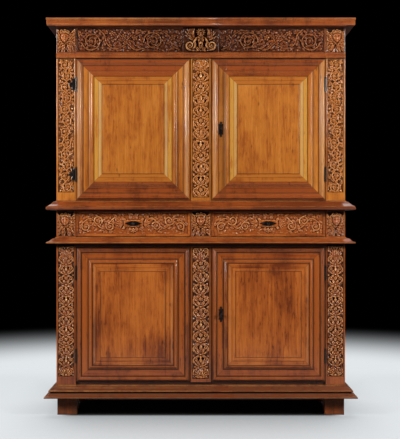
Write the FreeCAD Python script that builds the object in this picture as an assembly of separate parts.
import FreeCAD, Part
import os

# A carved walnut credenza in two stages: a lower case with two doors under two drawers, and an
# upper case with two doors under a carved frieze and a crown. Lengths are in millimetres.
# +X is to the viewer's right, +Y to the back and +Z up. The origin is on the floor, under the
# middle of the whole footprint.

Vector = FreeCAD.Vector
RIGHT = Vector(1, 0, 0)
BACK = Vector(0, 1, 0)
UP = Vector(0, 0, 1)
QUARTER_TURN = 90

# The case, from the floor up
CASE_WIDTH = 1490
CASE_DEPTH = 480
FOOT_HEIGHT = 93
PLINTH_HEIGHT = 31
BASE_HEIGHT = 32
SILL_HEIGHT = 14
LOWER_OPENING_HEIGHT = 699
DRAWER_RAIL_HEIGHT = 50
DRAWER_OPENING_HEIGHT = 139
WAIST_TOP_THICKNESS = 16
UPPER_BASE_HEIGHT = 33
UPPER_OPENING_HEIGHT = 735
FRIEZE_MOULDING_HEIGHT = 27
FRIEZE_HEIGHT = 132
CROWN_HEIGHT = 41

# How far each moulding stands out from the case, and the heights that aren't whole stages
PLINTH_PROJECTION = 58
PLINTH_NECK_PROJECTION = 18
BASE_PROJECTION = 37
WAIST_PROJECTION = 47
WAIST_HEIGHT = 33
WAIST_TOP_PROJECTION = 48
WAIST_NOSE_RADIUS = 7
WAIST_NOSE_LIMIT_SHARE = 0.45
UPPER_BASE_PROJECTION = 44
FRIEZE_MOULDING_PROJECTION = 12
CROWN_PROJECTION = 48

# Feet and plinth
FOOT_SIDE = 100
FOOT_INSET = 4
PLINTH_WIDTH = 90

# Front stiles, and the sunk grounds that hold their carving
STILE_WIDTH = 100
CENTRE_STILE_WIDTH = 104
STILE_THICKNESS = 30
CARVING_DEPTH = 5
CARVING_BORDER = 8
CARVING_MARGIN = 5
OUTER_STILE_FOOT = 42
CENTRE_STILE_FOOT = 16
SILL_SETBACK = 12

# Sides, back, boards and shelves
SIDE_THICKNESS = 26
SIDE_FRONT_WIDTH = 60
SIDE_REAR_WIDTH = 84
SIDE_RAIL_HEIGHT = 96
SIDE_BEVEL_WIDTH = 34
SIDE_BEVEL_HEIGHT = 6
SIDE_FIELD_MARGIN = 6
BACK_THICKNESS = 14
BACK_BOARD_COUNT = 7
BACK_BOARD_GAP = 0.6
TOP_THICKNESS = 24
SHELF_THICKNESS = 20
SHELF_SETBACK = 62
SHELF_DROP = 44
CLEAT_WIDTH = 22
CLEAT_HEIGHT = 32
STOP_HEIGHT = 36
STOP_THICKNESS = 14
STOP_OVERLAP = 12

# Framed joinery
TENON_LENGTH = 44
TENON_SHOULDER = 12
TENON_SHARE = 1 / 3
GROOVE_DEPTH = 8
PANEL_SETBACK = 8
PANEL_THICKNESS = 9
PANEL_FIT = 0.3

# Doors: widths are counted from the edge of the door towards its middle
DOOR_THICKNESS = 29.5
DOOR_GAP = 3
RIM_INSET = 6
RIM_HEIGHT = 9
UPPER_RIM_WIDTH = 29
UPPER_FLAT_WIDTH = 27
UPPER_BOLECTION_WIDTH = 30
UPPER_BOLECTION_HEIGHT = 14
UPPER_RAISED_HEIGHT = 11
LOWER_RIM_WIDTH = 21
LOWER_FLAT_WIDTH = 35
LOWER_BOLECTION_WIDTH = 21
LOWER_BOLECTION_HEIGHT = 11
LOWER_RAISED_HEIGHT = 8
BOLECTION_SEAT = 13
BORDER_WIDTH = 23
BEAD_WIDTH = 19
BEAD_HEIGHT = 6
FIELD_HEIGHT = 1.5

# Hinges
HINGE_GAP = 2
HINGE_END_DISTANCE = 135
HINGE_HEIGHT = 68
LEAF_WIDTH = 24
LEAF_THICKNESS = 1.8
KNUCKLE_COUNT = 5
KNUCKLE_RADIUS = 5
KNUCKLE_GAP = 0.4
KNUCKLE_CLEARANCE = 0.3
PIN_RADIUS = 2.2
PIN_CLEARANCE = 0.05
PIN_HEAD_RADIUS = 3.8
PIN_HEAD_HEIGHT = 4

# Locks, escutcheons, key and turn buttons
PLATE_LENGTH = 82
PLATE_WIDTH = 24
PLATE_THICKNESS = 2
LOCK_BACKSET = 49
LOCK_CASE_INSET = 6
LOCK_CASE_WIDTH = 64
LOCK_CASE_DEPTH = 16
LOCK_CASE_BELOW = 20
LOCK_CASE_ABOVE = 36
LOCK_WALL = 2
BOLT_LENGTH = 46
BOLT_THICKNESS = 7
BOLT_HEIGHT = 15
BOLT_RISE = 14
BOLT_SETBACK = 3.5
BOLT_CLEARANCE = 0.3
KEY_RADIUS = 3.5
KEY_CLEARANCE = 0.3
KEY_REACH = 26
KEY_TIP = 11
KEY_COLLAR_RADIUS = 5.5
KEY_COLLAR_LENGTH = 5
KEY_LEAN = 35
BIT_REACH = 11
BIT_WIDTH = 7
BIT_THICKNESS = 3
BOW_RADIUS = 13
BOW_WIRE_RADIUS = 2.6
BUTTON_LENGTH = 78
BUTTON_WIDTH = 20
BUTTON_THICKNESS = 10
BUTTON_CLEARANCE = 0.3
BUTTON_INSET = 22
BUTTON_PIN_RADIUS = 4
BUTTON_PIN_DEPTH = 18

# Drawers
DRAWER_GAP = 3
DRAWER_FRONT_THICKNESS = 22
DRAWER_BORDER = 10
DRAWER_SIDE_INSET = 8
DRAWER_SIDE_THICKNESS = 12
DRAWER_SIDE_HEIGHT = 112
DRAWER_BACK_SPACE = 44
DRAWER_BOTTOM_THICKNESS = 8
DRAWER_BOTTOM_RISE = 7
DRAWER_BOTTOM_GROOVE = 5
DRAWER_CLEARANCE = 0.3
DRAWER_PLATE_LENGTH = 88
DRAWER_PLATE_WIDTH = 25
BOSS_BORDER = 4
KNOB_RADIUS = 8
KNOB_STEM_RADIUS = 3.5
KNOB_STEM_LENGTH = 8
RUNNER_HEIGHT = 26
RUNNER_OVERLAP = 8
DIVIDER_THICKNESS = 16

# Frieze bracket
BRACKET_WIDTH = 184
BRACKET_HEIGHT = 122
BRACKET_DEPTH = 16
BRACKET_RELIEF = 8
BRACKET_HEAD_RADIUS = 15
BRACKET_VOLUTE_RADIUS = 21

# One overrun serves all cuts that open a face; points nearer than the other are the same point
OVERRUN = 5
SAME_POINT = 0.001

# Moulding profiles as shares of projection or width, and of height. Two numbers end a straight
# line; four are the middle and the end of an arc.
SPLAY_SHARES = [(0, 0), (0.93, 0), (1, 0.1, 0.97, 0.22), (0.91, 0.25), (0.71, 0.37, 0.54, 0.56),
                (0.38, 0.74, 0.16, 0.8), (0.16, 0.86), (0.09, 0.86), (0.09, 1), (0, 1)]
COVE_SHARES = [(0, 0), (1, 0), (1, 0.1), (0.94, 0.13), (0.66, 0.35, 0.44, 0.61), (0.32, 0.77, 0.13, 0.84),
               (0.13, 0.92), (0.06, 0.92), (0.06, 1), (0, 1)]
CROWN_SHARES = [(0, 0), (0.78, 0), (0.89, 0.07, 0.93, 0.28), (0.95, 0.62), (0.9, 0.66), (0.9, 0.71),
                (0.97, 0.73), (1, 0.87, 0.98, 1), (0, 1)]
BAND_SHARES = [(0, 0), (0.8, 0), (1, 0.13, 0.8, 0.26), (0.62, 0.28), (0.62, 0.72), (0.8, 0.74),
               (1, 0.87, 0.8, 1), (0, 1)]
RIM_SHARES = [(0, 0), (0, 0.35), (0.08, 0.82, 0.34, 1), (0.56, 0.86, 0.68, 0.52), (0.78, 0.52),
              (0.9, 0.4, 0.94, 0.15), (1, 0.15), (1, 0)]
BOLECTION_SHARES = [(0, 0), (0, 0.2), (0.09, 0.22), (0.28, 0.3, 0.36, 0.58), (0.48, 0.58), (0.48, 0.7),
                    (0.58, 0.95, 0.86, 1), (1, 0.96), (1, 0)]
BEAD_SHARES = [(0, 0), (0.36, 0.24, 0.58, 0.86), (0.58, 1), (0.84, 1), (0.98, 0.8, 1, 0.45), (1, 0)]

# Right halves of the flat outlines, as shares of half their width and half their length
ESCUTCHEON_SHARES = [(0, 1), (0.4, 0.88, 0.3, 0.66), (0.9, 0.66), (1, 0.56, 0.72, 0.44),
                     (0.9, 0, 0.72, -0.44), (1, -0.56, 0.9, -0.66), (0.3, -0.66), (0.4, -0.88, 0, -1)]
DRAWER_PLATE_SHARES = [(0, 1), (0.5, 0.68, 0.84, 0.4), (1, 0.2, 0.88, 0), (1, -0.2, 0.84, -0.4),
                       (0.5, -0.68, 0, -1)]

# The bracket's right half, as shares of half its width and of its height
BRACKET_SHARES = [(0, 0.86), (0.14, 0.72), (0.32, 0.86, 0.56, 0.98), (0.92, 0.98, 0.94, 0.74),
                  (0.7, 0.7, 0.4, 0.56), (0.26, 0.46, 0.24, 0.36), (0.56, 0.4, 0.86, 0.26),
                  (0.82, 0.04, 0.5, 0.02), (0.3, 0.1, 0.12, 0), (0, 0)]
VOLUTE_PLACE_SHARES = (0.6, 0.21)
CURL_PLACE_SHARES = (0.74, 0.84)
CURL_RADIUS_SHARE = 0.6
HEAD_PLACE_SHARE = 0.84

# Levels and planes that follow from the sizes above
Z_BASE = FOOT_HEIGHT + PLINTH_HEIGHT
Z_LOWER = Z_BASE + BASE_HEIGHT
Z_SILL = Z_LOWER + SILL_HEIGHT
Z_DRAWER_RAIL = Z_SILL + LOWER_OPENING_HEIGHT
Z_DRAWER = Z_DRAWER_RAIL + DRAWER_RAIL_HEIGHT
Z_WAIST_TOP = Z_DRAWER + DRAWER_OPENING_HEIGHT
Z_UPPER_BASE = Z_WAIST_TOP + WAIST_TOP_THICKNESS
Z_UPPER = Z_UPPER_BASE + UPPER_BASE_HEIGHT
Z_FRIEZE_MOULDING = Z_UPPER + UPPER_OPENING_HEIGHT
Z_FRIEZE = Z_FRIEZE_MOULDING + FRIEZE_MOULDING_HEIGHT
Z_CROWN = Z_FRIEZE + FRIEZE_HEIGHT
Z_TOP = Z_CROWN + CROWN_HEIGHT
Z_TOP_BOARD = Z_TOP - TOP_THICKNESS
Z_RUNNER = Z_DRAWER + DRAWER_GAP - DRAWER_CLEARANCE

X_SIDE = CASE_WIDTH / 2
X_INSIDE = X_SIDE - SIDE_THICKNESS
X_OPENING = X_SIDE - STILE_WIDTH
X_CENTRE = CENTRE_STILE_WIDTH / 2

Y_BACK = (CASE_DEPTH + PLINTH_PROJECTION) / 2
Y_FACE = Y_BACK - CASE_DEPTH
Y_INSIDE = Y_FACE + STILE_THICKNESS
Y_BACK_BOARDS = Y_BACK - BACK_THICKNESS

DOOR_WIDTH = X_OPENING - X_CENTRE - HINGE_GAP - DOOR_GAP
DOOR_CENTRE = X_OPENING - HINGE_GAP - DOOR_WIDTH / 2
DOOR_EDGE = X_CENTRE + DOOR_GAP
Y_DOOR_BACK = Y_FACE + DOOR_THICKNESS
HINGE_X = X_OPENING - HINGE_GAP / 2
HINGE_Y = Y_FACE - KNUCKLE_RADIUS - KNUCKLE_CLEARANCE
KEY_X = DOOR_EDGE + LOCK_BACKSET
BUTTON_X = BUTTON_INSET - X_CENTRE
DRAWER_LOW = Z_DRAWER + DRAWER_GAP
DRAWER_HIGH = Z_WAIST_TOP - DRAWER_GAP
DRAWER_OUTER = X_OPENING - DRAWER_GAP
DRAWER_INNER = X_CENTRE + DRAWER_GAP
Y_DRAWER_BOX = Y_FACE + DRAWER_FRONT_THICKNESS
Y_DRAWER_BACK = Y_BACK_BOARDS - DRAWER_BACK_SPACE


class Stage:
    """The sizes of one pair of doors, upper or lower."""

    def __init__(self, bottom, opening, rim, flat, bolection, bolection_height, raised):
        self.bottom = bottom
        self.top = bottom + opening
        self.middle = bottom + opening / 2
        self.door_height = opening - 2 * DOOR_GAP
        self.rim = rim
        self.bolection = bolection
        self.bolection_height = bolection_height
        self.raised = raised
        self.bolection_inset = RIM_INSET + rim + flat
        self.frame_width = self.bolection_inset + BOLECTION_SEAT
        self.raised_inset = self.bolection_inset + bolection
        self.bead_inset = self.raised_inset + BORDER_WIDTH
        self.field_inset = self.bead_inset + BEAD_WIDTH
        self.hinges = [self.bottom + HINGE_END_DISTANCE, self.top - HINGE_END_DISTANCE]


UPPER = Stage(Z_UPPER, UPPER_OPENING_HEIGHT, UPPER_RIM_WIDTH, UPPER_FLAT_WIDTH,
              UPPER_BOLECTION_WIDTH, UPPER_BOLECTION_HEIGHT, UPPER_RAISED_HEIGHT)
LOWER = Stage(Z_SILL, LOWER_OPENING_HEIGHT, LOWER_RIM_WIDTH, LOWER_FLAT_WIDTH,
              LOWER_BOLECTION_WIDTH, LOWER_BOLECTION_HEIGHT, LOWER_RAISED_HEIGHT)
STAGES = {"upper": UPPER, "lower": LOWER}


def block(x, y, z):
    """A rectangular block between pairs of coordinates."""
    return Part.makeBox(x[1] - x[0], y[1] - y[0], z[1] - z[0], Vector(x[0], y[0], z[0]))


def mirrored(solids):
    """The same pieces on the other side of the case."""
    return [solid.mirror(Vector(), RIGHT) for solid in solids]


def moved(solids, place):
    """Copies of the pieces, shifted by a vector."""
    return [solid.translated(place) for solid in solids]


def joined(solids):
    """One solid from pieces that meet or overlap."""
    return solids[0].fuse(solids[1:]).removeSplitter()


def prism(points, rise):
    """A polygon pushed along a vector."""
    return Part.Face(Part.makePolygon(points + points[:1])).extrude(rise)


def outline_face(shares, place):
    """A flat face inside lines and arcs; place turns a pair of shares into a point."""
    start = last = place(*shares[0])
    edges = []
    for step in shares[1:]:
        end = place(*step[-2:])
        if len(step) == 2:
            edges.append(Part.LineSegment(last, end).toShape())
        else:
            edges.append(Part.Arc(last, place(*step[:2]), end).toShape())
        last = end
    if not last.isEqual(start, SAME_POINT):
        edges.append(Part.LineSegment(last, start).toShape())
    return Part.Face(Part.Wire(edges))


def both_halves(half):
    """A closed outline from its right half: down the right side and up the left."""
    steps = list(half)
    for here, before in zip(half[:0:-1], half[-2::-1]):
        middle = [(-here[0], here[1])] if len(here) > 2 else []
        points = middle + [(-before[-2], before[-1])]
        steps.append(tuple(number for point in points for number in point))
    return steps


def case_moulding(shares, projection, height, bottom, start=0, width=0):
    """A front strip and two returns, mitred at the front corners of the case.

    The profile runs out from start to projection, and width is how far its back lies inside
    the faces of the case.
    """
    def out(share):
        return start + share * (projection - start) if share else -width

    outer = X_SIDE + projection
    inner = X_SIDE - width
    front_y = Y_FACE - projection
    inner_y = Y_FACE + width
    face = outline_face(shares, lambda p, h: Vector(-outer, Y_FACE - out(p), bottom + h * height))
    plan = [Vector(-outer, front_y, bottom), Vector(outer, front_y, bottom),
            Vector(inner, inner_y, bottom), Vector(-inner, inner_y, bottom)]
    front = face.extrude(Vector(2 * outer, 0, 0)).common(prism(plan, Vector(0, 0, height)))
    face = outline_face(shares, lambda p, h: Vector(X_SIDE + out(p), front_y, bottom + h * height))
    plan = [Vector(outer, front_y, bottom), Vector(outer, Y_BACK, bottom),
            Vector(inner, Y_BACK, bottom), Vector(inner, inner_y, bottom)]
    side = face.extrude(Vector(0, Y_BACK - front_y, 0)).common(prism(plan, Vector(0, 0, height)))
    return [front, side] + mirrored([side])


def ring(width, height, inset, shares, strip_width, strip_height, base=0):
    """Four mitred strips round a rectangle centred in X and Z, standing out towards -Y."""
    strips = []
    for turn, (along, across) in enumerate([(width, height), (height, width)] * 2):
        half = along / 2 - inset
        low = inset - across / 2
        face = outline_face(
            shares, lambda p, h: Vector(-half, -base - h * strip_height, low + p * strip_width))
        plan = [Vector(-half, -base, low), Vector(half, -base, low),
                Vector(half - strip_width, -base, low + strip_width),
                Vector(strip_width - half, -base, low + strip_width)]
        strip = face.extrude(Vector(2 * half, 0, 0)).common(prism(plan, Vector(0, -strip_height, 0)))
        strip.rotate(Vector(), BACK, turn * QUARTER_TURN)
        strips.append(strip)
    return strips


def centred(width, height, inset, y):
    """A block inside a rectangle that is centred in X and Z."""
    return block((inset - width / 2, width / 2 - inset), y, (inset - height / 2, height / 2 - inset))


def framed(width, height, stiles, rail, thickness, plate):
    """Two stiles and two tenoned rails with a groove for the plate of a panel.

    The frame is centred in X and Z and its face is at y 0.
    """
    left = stiles[0] - width / 2
    right = width / 2 - stiles[1]
    top = height / 2
    depth = (0, thickness)
    uprights = [block(x, depth, (-top, top)) for x in [(-width / 2, left), (right, width / 2)]]
    tenon_y = (thickness * (1 - TENON_SHARE) / 2, thickness * (1 + TENON_SHARE) / 2)
    rails = []
    for low, high in [(-top, rail - top), (top - rail, top)]:
        tenon = block((left - TENON_LENGTH, right + TENON_LENGTH), tenon_y,
                      (low + TENON_SHOULDER, high - TENON_SHOULDER))
        uprights = [upright.cut(tenon) for upright in uprights]
        rails.append(joined([block((left, right), depth, (low, high)), tenon]))
    box = plate.BoundBox
    groove = block((box.XMin - PANEL_FIT, box.XMax + PANEL_FIT),
                   (box.YMin - PANEL_FIT, box.YMax + PANEL_FIT),
                   (box.ZMin - PANEL_FIT, box.ZMax + PANEL_FIT))
    return [member.cut(groove) for member in uprights + rails]


def feet():
    """Four block feet under the corners of the case."""
    near = X_SIDE - FOOT_INSET - FOOT_SIDE
    solids = []
    for low in [Y_FACE + FOOT_INSET, Y_BACK - FOOT_INSET - FOOT_SIDE]:
        solids.append(block((near, near + FOOT_SIDE), (low, low + FOOT_SIDE), (0, FOOT_HEIGHT)))
    return solids + mirrored(solids)


def plinth_frame():
    """The moulded frame that the case stands on, with a plain rail at the back."""
    strips = case_moulding(SPLAY_SHARES, PLINTH_PROJECTION, PLINTH_HEIGHT, FOOT_HEIGHT,
                           PLINTH_NECK_PROJECTION, PLINTH_WIDTH)
    near = X_SIDE - PLINTH_WIDTH
    return strips + [block((-near, near), (Y_BACK - PLINTH_WIDTH, Y_BACK), (FOOT_HEIGHT, Z_BASE))]


def case_board(bottom, top, back=Y_BACK_BOARDS):
    """A board over the whole plan of the case."""
    return block((-X_SIDE, X_SIDE), (Y_FACE, back), (bottom, top))


def base_boards():
    """The floor of the lower case, and the sill behind its front that the doors close over."""
    sill = block((-X_OPENING, X_OPENING), (Y_FACE + SILL_SETBACK, Y_INSIDE), (Z_LOWER, Z_SILL))
    return [case_board(Z_BASE, Z_LOWER), sill]


def waist_top_board():
    """The top of the lower case, with a rounded nose at the front and the sides."""
    reach = X_SIDE + WAIST_TOP_PROJECTION
    depth = (Y_FACE - WAIST_TOP_PROJECTION, Y_BACK)
    board = block((-reach, reach), depth, (Z_WAIST_TOP, Z_UPPER_BASE))
    radius = min(WAIST_NOSE_RADIUS, WAIST_TOP_THICKNESS * WAIST_NOSE_LIMIT_SHARE)
    level = [edge for edge in board.Edges if edge.BoundBox.ZLength < radius]
    return board.makeFillet(radius, [edge for edge in level if edge.BoundBox.YMin < Y_BACK - radius])


def sunk(piece, x, z):
    """The piece with a sunk ground for carving in its face."""
    return piece.cut(block(x, (Y_FACE - OVERRUN, Y_FACE + CARVING_DEPTH), z))


def outer_stile(stage, bottom, top, foot_field, block_field):
    """The left front stile of a stage, with its two sunk grounds and the hinge recesses."""
    post = block((-X_SIDE, -X_OPENING), (Y_FACE, Y_INSIDE), (bottom, top))
    across = (CARVING_BORDER - X_SIDE, -X_OPENING - CARVING_BORDER)
    for low, high in [foot_field, block_field]:
        post = sunk(post, across, (low, high))
    for middle in stage.hinges:
        post = post.cut(leaf_plate(middle, -X_OPENING - LEAF_THICKNESS))
    return post


def centre_stile(stage):
    """The stile between two doors, with its sunk ground and the bore for the turn button."""
    post = block((-X_CENTRE, X_CENTRE), (Y_FACE, Y_INSIDE), (stage.bottom, stage.top))
    across = (CARVING_BORDER - X_CENTRE, X_CENTRE - CARVING_BORDER)
    post = sunk(post, across, (stage.bottom + CENTRE_STILE_FOOT, stage.top - CARVING_MARGIN))
    depth = BUTTON_PIN_DEPTH + BUTTON_CLEARANCE
    return post.cut(Part.makeCylinder(BUTTON_PIN_RADIUS + PIN_CLEARANCE, depth + OVERRUN,
                                      Vector(BUTTON_X, Y_INSIDE - depth, stage.middle), BACK))


def side_frame(bottom, top):
    """The right side of a stage: a frame round a bevelled panel."""
    width = Y_BACK_BOARDS - Y_INSIDE
    height = top - bottom
    left = SIDE_FRONT_WIDTH - width / 2
    right = width / 2 - SIDE_REAR_WIDTH
    rise = height / 2 - SIDE_RAIL_HEIGHT
    plate = block((left - GROOVE_DEPTH, right + GROOVE_DEPTH),
                  (PANEL_SETBACK, PANEL_SETBACK + PANEL_THICKNESS),
                  (-rise - GROOVE_DEPTH, rise + GROOVE_DEPTH))
    stiles = (SIDE_FRONT_WIDTH, SIDE_REAR_WIDTH)
    members = framed(width, height, stiles, SIDE_RAIL_HEIGHT, SIDE_THICKNESS, plate)
    wires = []
    for inset, y in [(SIDE_FIELD_MARGIN, PANEL_SETBACK),
                     (SIDE_FIELD_MARGIN + SIDE_BEVEL_WIDTH, PANEL_SETBACK - SIDE_BEVEL_HEIGHT)]:
        corners = [(left + inset, inset - rise), (right - inset, inset - rise),
                   (right - inset, rise - inset), (left + inset, rise - inset)]
        points = [Vector(x, y, z) for x, z in corners]
        wires.append(Part.makePolygon(points + points[:1]))
    members.append(joined([plate, Part.makeLoft(wires, True, True)]))
    for member in members:
        member.rotate(Vector(), UP, QUARTER_TURN)
    return moved(members, Vector(X_SIDE, (Y_INSIDE + Y_BACK_BOARDS) / 2, (bottom + top) / 2))


def back_boards(bottom, top):
    """Upright planks nailed over the back of a stage."""
    pitch = (CASE_WIDTH + BACK_BOARD_GAP) / BACK_BOARD_COUNT
    planks = []
    for index in range(BACK_BOARD_COUNT):
        left = index * pitch - X_SIDE
        across = (left, left + pitch - BACK_BOARD_GAP)
        planks.append(block(across, (Y_BACK_BOARDS, Y_BACK), (bottom, top)))
    return planks


def shelf(stage):
    """A shelf below the middle of a stage, on a cleat at each side."""
    top = stage.middle - SHELF_DROP
    under = top - SHELF_THICKNESS
    depth = (Y_FACE + SHELF_SETBACK, Y_BACK_BOARDS)
    board = block((-X_INSIDE, X_INSIDE), depth, (under, top))
    cleat = block((X_INSIDE - CLEAT_WIDTH, X_INSIDE), depth, (under - CLEAT_HEIGHT, under))
    return [board, cleat] + mirrored([cleat])


def door_stop(level):
    """A strip behind a rail that the tops of two doors close against."""
    return block((-X_OPENING, X_OPENING), (Y_INSIDE, Y_INSIDE + STOP_THICKNESS),
                 (level - STOP_OVERLAP, level - STOP_OVERLAP + STOP_HEIGHT))


def drawer_frame():
    """The rail under the drawers, their runners, and the divider with its carved block."""
    rail = block((-X_OPENING, X_OPENING), (Y_FACE, Y_INSIDE), (Z_DRAWER_RAIL, Z_DRAWER))
    depth = (Y_INSIDE, Y_BACK_BOARDS)
    inner = DRAWER_INNER + DRAWER_SIDE_INSET + DRAWER_SIDE_THICKNESS + RUNNER_OVERLAP
    outer = DRAWER_OUTER - DRAWER_SIDE_INSET - DRAWER_SIDE_THICKNESS - RUNNER_OVERLAP
    level = (Z_RUNNER - RUNNER_HEIGHT, Z_RUNNER)
    centre_runner = block((-inner, inner), depth, level)
    side_runner = block((outer, X_INSIDE), depth, level)
    divider = block((-DIVIDER_THICKNESS / 2, DIVIDER_THICKNESS / 2), depth, (Z_RUNNER, Z_WAIST_TOP))
    front = block((-X_CENTRE, X_CENTRE), (Y_FACE, Y_INSIDE), (Z_DRAWER, Z_WAIST_TOP))
    front = sunk(front, (CARVING_BORDER - X_CENTRE, X_CENTRE - CARVING_BORDER),
                 (Z_DRAWER + CARVING_MARGIN, Z_WAIST_TOP - CARVING_MARGIN))
    solids = [rail, centre_runner, divider, front, door_stop(Z_DRAWER_RAIL), side_runner]
    return solids + mirrored([side_runner])


def frieze_rail():
    """The rail between the upper corner stiles, with two sunk grounds and the door stop."""
    rail = block((-X_OPENING, X_OPENING), (Y_FACE, Y_INSIDE), (Z_FRIEZE_MOULDING, Z_TOP_BOARD))
    high = (Z_FRIEZE + CARVING_MARGIN, Z_CROWN - CARVING_MARGIN)
    across = (BRACKET_WIDTH / 2, X_OPENING - CARVING_BORDER)
    rail = sunk(rail, across, high)
    rail = sunk(rail, (-across[1], -across[0]), high)
    return [rail, door_stop(Z_FRIEZE_MOULDING)]


def frieze_moulding():
    """The thin moulding between the doors and the frieze."""
    face = outline_face(BAND_SHARES, lambda p, h: Vector(
        -X_SIDE, Y_FACE - p * FRIEZE_MOULDING_PROJECTION, Z_FRIEZE_MOULDING + h * FRIEZE_MOULDING_HEIGHT))
    return face.extrude(Vector(CASE_WIDTH, 0, 0))


def frieze_bracket():
    """The winged bust on scrolls in the middle of the frieze, in its main forms."""
    low = Z_FRIEZE + (FRIEZE_HEIGHT - BRACKET_HEIGHT) / 2

    def place(a, b):
        return Vector(a * BRACKET_WIDTH / 2, Y_FACE, low + b * BRACKET_HEIGHT)

    front = Y_FACE - BRACKET_DEPTH
    forms = [outline_face(both_halves(BRACKET_SHARES), place).extrude(Vector(0, -BRACKET_DEPTH, 0))]
    for side in (-1, 1):
        for shares, radius in [(VOLUTE_PLACE_SHARES, BRACKET_VOLUTE_RADIUS),
                               (CURL_PLACE_SHARES, BRACKET_VOLUTE_RADIUS * CURL_RADIUS_SHARE)]:
            middle = place(side * shares[0], shares[1])
            forms.append(Part.makeCylinder(radius, BRACKET_DEPTH + BRACKET_RELIEF, middle, -BACK))
    head = place(0, HEAD_PLACE_SHARE)
    head.y = front
    forms.append(Part.makeSphere(BRACKET_HEAD_RADIUS, head))
    return joined(forms)


def leaf_plate(middle, left):
    """The flat of a hinge leaf, from its left face."""
    return block((left, left + LEAF_THICKNESS), (Y_FACE, Y_FACE + LEAF_WIDTH),
                 (middle - HINGE_HEIGHT / 2, middle + HINGE_HEIGHT / 2))


def hinge_leaf(middle, left, first):
    """A hinge leaf of a left door: its flat and every second knuckle, from the first."""
    low = middle - HINGE_HEIGHT / 2
    pitch = (HINGE_HEIGHT + KNUCKLE_GAP) / KNUCKLE_COUNT
    tall = pitch - KNUCKLE_GAP
    pieces = [leaf_plate(middle, left)]
    for index in range(first, KNUCKLE_COUNT, 2):
        z = low + index * pitch
        pieces.append(Part.makeCylinder(KNUCKLE_RADIUS, tall, Vector(-HINGE_X, HINGE_Y, z)))
        pieces.append(block((left, left + LEAF_THICKNESS), (HINGE_Y, Y_FACE), (z, z + tall)))
    bore = Part.makeCylinder(PIN_RADIUS + PIN_CLEARANCE, HINGE_HEIGHT + 2 * OVERRUN,
                             Vector(-HINGE_X, HINGE_Y, low - OVERRUN))
    return joined(pieces).cut(bore)


def hinge_pin(middle):
    """A hinge pin with a head at each end."""
    low = middle - HINGE_HEIGHT / 2
    pieces = [Part.makeCylinder(PIN_RADIUS, HINGE_HEIGHT, Vector(-HINGE_X, HINGE_Y, low))]
    for z in [low - PIN_HEAD_HEIGHT, low + HINGE_HEIGHT]:
        pieces.append(Part.makeCylinder(PIN_HEAD_RADIUS, PIN_HEAD_HEIGHT, Vector(-HINGE_X, HINGE_Y, z)))
    return joined(pieces)


def frame_hinges():
    """The stile leaves and pins of all doors."""
    solids = []
    for stage in STAGES.values():
        for middle in stage.hinges:
            solids.append(hinge_leaf(middle, -X_OPENING - LEAF_THICKNESS, 0))
            solids.append(hinge_pin(middle))
    return solids + mirrored(solids)


def door_hinges(stage):
    """The leaves on a left door."""
    return [hinge_leaf(middle, HINGE_GAP - X_OPENING, 1) for middle in stage.hinges]


def door_panel(stage):
    """A raised panel: a thin plate, a raised border, a bead and the field inside it."""
    width = DOOR_WIDTH
    height = stage.door_height
    back = PANEL_SETBACK + PANEL_THICKNESS
    plate = centred(width, height, stage.frame_width - GROOVE_DEPTH, (PANEL_SETBACK, back))
    raised = centred(width, height, stage.raised_inset + PANEL_FIT, (-stage.raised, PANEL_SETBACK))
    field = centred(width, height, stage.field_inset, (-stage.raised - FIELD_HEIGHT, -stage.raised))
    bead = ring(width, height, stage.bead_inset, BEAD_SHARES, BEAD_WIDTH, BEAD_HEIGHT, stage.raised)
    return plate, joined([plate, raised, field] + bead)


def left_door(stage):
    """The frame, mouldings and panel of a left door, at their place in the case."""
    width = DOOR_WIDTH
    height = stage.door_height
    plate, panel = door_panel(stage)
    frame = framed(width, height, (stage.frame_width, stage.frame_width), stage.frame_width,
                   DOOR_THICKNESS, plate)
    mouldings = ring(width, height, RIM_INSET, RIM_SHARES, stage.rim, RIM_HEIGHT)
    mouldings += ring(width, height, stage.bolection_inset, BOLECTION_SHARES, stage.bolection,
                      stage.bolection_height)
    place = Vector(-DOOR_CENTRE, Y_FACE, stage.middle)
    frame = moved(frame, place)
    for middle in stage.hinges:
        frame = [member.cut(leaf_plate(middle, HINGE_GAP - X_OPENING)) for member in frame]
    return frame, moved(mouldings, place), moved([panel], place)


def keyhole(stage, y):
    """The cutter for a keyhole: a round hole with a slot below for the bit."""
    depth = y[1] - y[0]
    radius = KEY_RADIUS + KEY_CLEARANCE
    slot = BIT_THICKNESS / 2 + KEY_CLEARANCE
    hole = Part.makeCylinder(radius, depth, Vector(KEY_X, y[0], stage.middle), BACK)
    low = stage.middle - BIT_REACH - KEY_CLEARANCE
    return hole.fuse(block((KEY_X - slot, KEY_X + slot), y, (low, stage.middle)))


def escutcheon(stage):
    """The upright iron plate round a keyhole."""
    face = outline_face(both_halves(ESCUTCHEON_SHARES), lambda a, b: Vector(
        KEY_X + a * PLATE_WIDTH / 2, Y_FACE, stage.middle + b * PLATE_LENGTH / 2))
    plate = face.extrude(Vector(0, -PLATE_THICKNESS, 0))
    return plate.cut(keyhole(stage, (Y_FACE - PLATE_THICKNESS - OVERRUN, Y_FACE + OVERRUN)))


def bolt_section(stage, grow=0):
    """The depth and height of a lock bolt, or of the slot round it."""
    y = Y_DOOR_BACK + BOLT_SETBACK
    z = stage.middle + BOLT_RISE
    return (y - grow, y + BOLT_THICKNESS + grow), (z - grow, z + BOLT_HEIGHT + grow)


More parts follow.
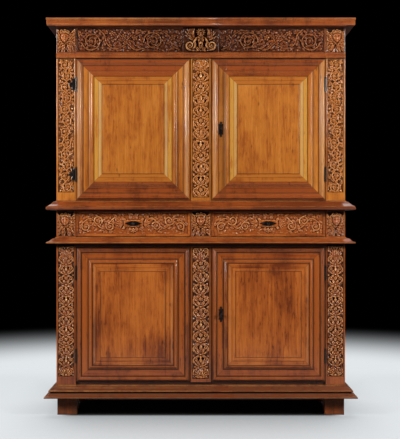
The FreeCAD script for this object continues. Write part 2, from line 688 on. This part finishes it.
def lock_case(stage):
    """The iron box behind a right door, open towards the door, with a slot for the bolt."""
    x = (DOOR_EDGE + LOCK_CASE_INSET, DOOR_EDGE + LOCK_CASE_INSET + LOCK_CASE_WIDTH)
    z = (stage.middle - LOCK_CASE_BELOW, stage.middle + LOCK_CASE_ABOVE)
    back = Y_DOOR_BACK + LOCK_CASE_DEPTH
    box = block(x, (Y_DOOR_BACK, back), z)
    hollow = block((x[0] + LOCK_WALL, x[1] - LOCK_WALL), (Y_DOOR_BACK - OVERRUN, back - LOCK_WALL),
                   (z[0] + LOCK_WALL, z[1] - LOCK_WALL))
    slot_y, slot_z = bolt_section(stage, BOLT_CLEARANCE)
    slot = block((x[0] - OVERRUN, x[0] + LOCK_WALL + OVERRUN), slot_y, slot_z)
    return box.cut(hollow).cut(slot)


def lock_bolt(stage):
    """The bolt, drawn back flush with the lock case."""
    y, z = bolt_section(stage)
    left = DOOR_EDGE + LOCK_CASE_INSET
    return block((left, left + BOLT_LENGTH), y, z)


def key():
    """The key of the lower lock: bow, collar, stem and bit, leaning as it was left."""
    tip = Y_DOOR_BACK + KEY_TIP
    outer = Y_FACE - KEY_REACH
    middle = LOWER.middle
    stem = Part.makeCylinder(KEY_RADIUS, tip - outer, Vector(KEY_X, outer, middle), BACK)
    collar = Part.makeCylinder(KEY_COLLAR_RADIUS, KEY_COLLAR_LENGTH, Vector(KEY_X, outer, middle), BACK)
    bow = Part.makeTorus(BOW_RADIUS, BOW_WIRE_RADIUS, Vector(KEY_X, outer - BOW_RADIUS, middle), RIGHT)
    bit = block((KEY_X - BIT_THICKNESS / 2, KEY_X + BIT_THICKNESS / 2), (tip - BIT_WIDTH, tip),
                (middle - BIT_REACH, middle))
    solid = joined([joined([stem, collar, bit]), bow])
    solid.rotate(Vector(KEY_X, outer, middle), BACK, KEY_LEAN)
    return solid


def turn_button(stage):
    """A round-ended wooden bar on a peg, behind the centre stile."""
    front = Y_INSIDE + BUTTON_CLEARANCE
    middle = stage.middle
    half = BUTTON_WIDTH / 2
    reach = BUTTON_LENGTH / 2 - half
    pieces = [block((BUTTON_X - half, BUTTON_X + half), (front, front + BUTTON_THICKNESS),
                    (middle - reach, middle + reach))]
    for z in [middle - reach, middle + reach]:
        pieces.append(Part.makeCylinder(half, BUTTON_THICKNESS, Vector(BUTTON_X, front, z), BACK))
    pieces.append(Part.makeCylinder(BUTTON_PIN_RADIUS, BUTTON_PIN_DEPTH + BUTTON_CLEARANCE,
                                    Vector(BUTTON_X, Y_INSIDE - BUTTON_PIN_DEPTH, middle), BACK))
    return joined(pieces)


def drawer_front():
    """The left drawer's front: a sunk ground with a plain boss in the middle for the pull."""
    x = (-DRAWER_OUTER, -DRAWER_INNER)
    z = (DRAWER_LOW, DRAWER_HIGH)
    front = block(x, (Y_FACE, Y_DRAWER_BOX), z)
    depth = (Y_FACE - OVERRUN, Y_FACE + CARVING_DEPTH)
    ground = block((x[0] + DRAWER_BORDER, x[1] - DRAWER_BORDER), depth,
                   (z[0] + DRAWER_BORDER, z[1] - DRAWER_BORDER))
    middle_x, middle_z = drawer_middle()
    half_x = DRAWER_PLATE_LENGTH / 2 + BOSS_BORDER
    half_z = DRAWER_PLATE_WIDTH / 2 + BOSS_BORDER
    boss = block((middle_x - half_x, middle_x + half_x), depth, (middle_z - half_z, middle_z + half_z))
    return front.cut(ground.cut(boss))


def drawer_middle():
    """The middle of the left drawer's front."""
    return -(DRAWER_OUTER + DRAWER_INNER) / 2, (DRAWER_LOW + DRAWER_HIGH) / 2


def drawer_box():
    """The left drawer's sides, back and bottom; the bottom lies in grooves in the sides."""
    left = DRAWER_SIDE_INSET - DRAWER_OUTER
    right = -DRAWER_INNER - DRAWER_SIDE_INSET
    depth = (Y_DRAWER_BOX, Y_DRAWER_BACK)
    back_y = (Y_DRAWER_BACK - DRAWER_SIDE_THICKNESS, Y_DRAWER_BACK)
    high = (DRAWER_LOW, DRAWER_LOW + DRAWER_SIDE_HEIGHT)
    inside = (left + DRAWER_SIDE_THICKNESS, right - DRAWER_SIDE_THICKNESS)
    under = DRAWER_LOW + DRAWER_BOTTOM_RISE
    bottom = block((inside[0] - DRAWER_BOTTOM_GROOVE, inside[1] + DRAWER_BOTTOM_GROOVE),
                   (Y_DRAWER_BOX, back_y[0]), (under, under + DRAWER_BOTTOM_THICKNESS))
    sides = [block(x, depth, high).cut(bottom) for x in [(left, inside[0]), (inside[1], right)]]
    return sides + [block(inside, back_y, high), bottom]


def drawer_pull():
    """The left drawer's iron plate and its small forged knob."""
    x, z = drawer_middle()
    face = outline_face(both_halves(DRAWER_PLATE_SHARES), lambda a, b: Vector(
        x + b * DRAWER_PLATE_LENGTH / 2, Y_FACE, z + a * DRAWER_PLATE_WIDTH / 2))
    plate = face.extrude(Vector(0, -PLATE_THICKNESS, 0))
    front = Y_FACE - PLATE_THICKNESS
    stem = Part.makeCylinder(KNOB_STEM_RADIUS, KNOB_STEM_LENGTH, Vector(x, front, z), -BACK)
    ball = Part.makeSphere(KNOB_RADIUS, Vector(x, front - KNOB_STEM_LENGTH - KNOB_RADIUS / 2, z))
    return [plate, joined([stem, ball])]


def case_nodes():
    """The nodes of the fixed case."""
    lower_field = (Z_LOWER + OUTER_STILE_FOOT, Z_DRAWER - WAIST_HEIGHT - CARVING_MARGIN)
    lower_block = (Z_DRAWER + CARVING_MARGIN, Z_WAIST_TOP - CARVING_MARGIN)
    upper_field = (Z_UPPER + OUTER_STILE_FOOT, Z_FRIEZE_MOULDING - CARVING_MARGIN)
    upper_block = (Z_FRIEZE + CARVING_MARGIN, Z_CROWN - CARVING_MARGIN)
    lower_stile = outer_stile(LOWER, Z_LOWER, Z_WAIST_TOP, lower_field, lower_block)
    upper_stile = outer_stile(UPPER, Z_UPPER, Z_TOP_BOARD, upper_field, upper_block)
    lower_side = side_frame(Z_LOWER, Z_WAIST_TOP)
    upper_side = side_frame(Z_UPPER, Z_TOP_BOARD)
    waist_moulding = case_moulding(SPLAY_SHARES, WAIST_PROJECTION, WAIST_HEIGHT, Z_DRAWER - WAIST_HEIGHT)
    upper_base = case_moulding(COVE_SHARES, UPPER_BASE_PROJECTION, UPPER_BASE_HEIGHT, Z_UPPER_BASE)
    return {
        "block_feet": feet(),
        "plinth_frame": plinth_frame(),
        "base_board": base_boards(),
        "base_moulding": case_moulding(SPLAY_SHARES, BASE_PROJECTION, BASE_HEIGHT, Z_BASE),
        "lower_stile_left": [lower_stile],
        "lower_stile_centre": [centre_stile(LOWER)],
        "lower_stile_right": mirrored([lower_stile]),
        "lower_side_left": mirrored(lower_side),
        "lower_side_right": lower_side,
        "lower_back_boards": back_boards(Z_BASE, Z_WAIST_TOP),
        "lower_shelf": shelf(LOWER),
        "drawer_frame": drawer_frame(),
        "waist_moulding": waist_moulding,
        "waist_top_board": [waist_top_board()],
        "upper_bottom_board": [case_board(Z_UPPER_BASE, Z_UPPER)],
        "upper_base_moulding": upper_base,
        "upper_stile_left": [upper_stile],
        "upper_stile_centre": [centre_stile(UPPER)],
        "upper_stile_right": mirrored([upper_stile]),
        "upper_side_left": mirrored(upper_side),
        "upper_side_right": upper_side,
        "upper_back_boards": back_boards(Z_UPPER_BASE, Z_TOP_BOARD),
        "upper_shelf": shelf(UPPER),
        "frieze_rail": frieze_rail(),
        "frieze_bracket": [frieze_bracket()],
        "frieze_moulding": [frieze_moulding()],
        "crown_cornice": case_moulding(CROWN_SHARES, CROWN_PROJECTION, CROWN_HEIGHT, Z_CROWN),
        "upper_top_board": [case_board(Z_TOP_BOARD, Z_TOP, Y_BACK)],
        "hinge_frame_leaves": frame_hinges(),
    }


def door_nodes():
    """The nodes of the four doors, with locks on the right ones."""
    nodes = {"key": [key()]}
    for name, stage in STAGES.items():
        frame, mouldings, panel = left_door(stage)
        leaves = door_hinges(stage)
        cutter = keyhole(stage, (Y_FACE - OVERRUN, Y_DOOR_BACK + OVERRUN))
        left = f"{name}_left_door"
        right = f"{name}_right_door"
        nodes[f"{left}_frame"] = frame
        nodes[f"{left}_moulding"] = mouldings
        nodes[f"{left}_panel"] = panel
        nodes[f"{left}_hinges"] = leaves
        nodes[f"{right}_frame"] = [member.cut(cutter) for member in mirrored(frame)]
        nodes[f"{right}_moulding"] = mirrored(mouldings)
        nodes[f"{right}_panel"] = mirrored(panel)
        nodes[f"{right}_hinges"] = mirrored(leaves)
        nodes[f"{name}_escutcheon"] = [escutcheon(stage)]
        nodes[f"{name}_lock_case"] = [lock_case(stage)]
        nodes[f"{name}_lock_bolt"] = [lock_bolt(stage)]
        nodes[f"{name}_turn_button"] = [turn_button(stage)]
    return nodes


def drawer_nodes():
    """The nodes of the two drawers."""
    front = [drawer_front()]
    box = drawer_box()
    pull = drawer_pull()
    return {
        "left_drawer_front": front,
        "left_drawer_box": box,
        "left_drawer_pull": pull,
        "right_drawer_front": mirrored(front),
        "right_drawer_box": mirrored(box),
        "right_drawer_pull": mirrored(pull),
    }


def main():
    os.makedirs("parts", exist_ok=True)
    nodes = {**case_nodes(), **door_nodes(), **drawer_nodes()}
    for name, solids in nodes.items():
        shape = Part.makeCompound([part for solid in solids for part in solid.Solids])
        if not shape.isValid():
            raise ValueError(f"{name} isn't a valid shape")
        shape.exportStep(f"parts/{name}.step")
        print(name, len(shape.Solids), round(shape.Volume))


if __name__ == "__main__":
    main()
